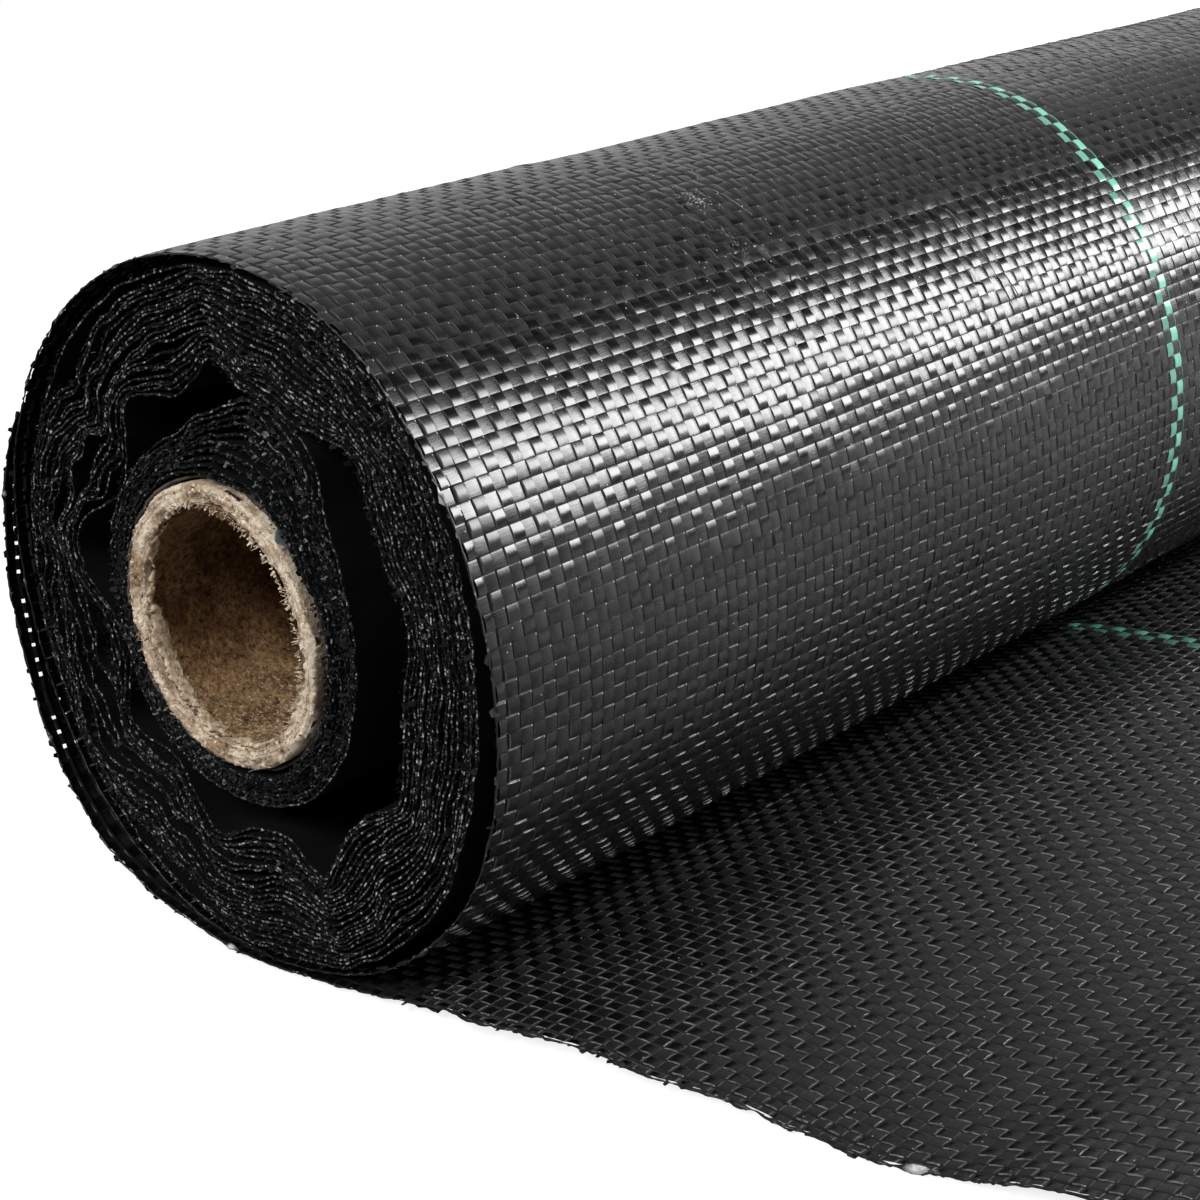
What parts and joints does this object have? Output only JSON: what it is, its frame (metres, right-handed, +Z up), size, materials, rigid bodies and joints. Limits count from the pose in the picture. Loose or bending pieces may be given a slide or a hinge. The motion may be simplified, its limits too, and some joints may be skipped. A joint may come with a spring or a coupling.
{
  "type": "geotextile roll",
  "caption": "Part-used roll of black woven ground-cover geotextile with green marker tapes, wound on a cardboard core, its free end laid flat on the ground.",
  "frame": {"origin": "On the ground, under the middle of the box round the roll and its laid sheet together", "axes": "+Y along the roll's axis from the near end (the open end with the core facing the viewer) to the far end, +X the way the free end is laid out, +Z up"},
  "size_m": [0.462, 1.003, 0.1234],
  "materials": {
    "web_black": "woven flat polypropylene tapes, glossy along each tape, charcoal black",
    "web_green": "woven flat tapes, mint green, semi-gloss",
    "fused_selvedge": "heat-cut edge, melted and uneven, black with a few pale beads",
    "kraft_liner": "dark brown kraft, matt, speckled",
    "core_board": "cut edge of wound chipboard plies, pale and fibrous",
    "core_surface": "grey-brown outer ply, matt",
    "start_tape": "thin translucent adhesive tape"
  },
  "bodies": {
    "laid_web": {"laid_panel_1": "web_black", "laid_panel_2": "web_black", "laid_panel_3": "web_black", "laid_panel_4": "web_black", "laid_panel_5": "web_black", "laid_marker_1": "web_green", "laid_marker_2": "web_green", "laid_marker_3": "web_green", "laid_marker_4": "web_green", "laid_selvedge_near": "fused_selvedge", "laid_selvedge_far": "fused_selvedge"},
    "standing_web": {"web_under_roll": "web_black"},
    "roll": {"core_liner_ply": "kraft_liner", "core_body_plies": "core_board", "core_surface_ply": "core_surface", "start_tape": "start_tape", "inner_turns": "web_black", "slack_turns": "web_black", "outer_turns": "web_black", "wrap_panel_1": "web_black", "wrap_panel_2": "web_black", "wrap_panel_3": "web_black", "wrap_panel_4": "web_black", "wrap_panel_5": "web_black", "wrap_marker_1": "web_green", "wrap_marker_2": "web_green", "wrap_marker_3": "web_green", "wrap_marker_4": "web_green", "wrap_selvedge_near": "fused_selvedge", "wrap_selvedge_far": "fused_selvedge"}
  },
  "joints": [
    {"name": "roll_travel", "type": "slide", "parent": "laid_web", "child": "standing_web", "axis": [-1, 0, 0], "range_m": [0, 0.38]},
    {"name": "roll_spin", "type": "hinge", "parent": "standing_web", "child": "roll", "pos_m": [-0.169, 0, 0.0622], "axis": [0, -1, 0], "range_deg": [0, 360]}
  ],
  "couplings": [
    {"joint": "roll_spin", "follows": "roll_travel", "rad_per_m": 16.393}
  ]
}
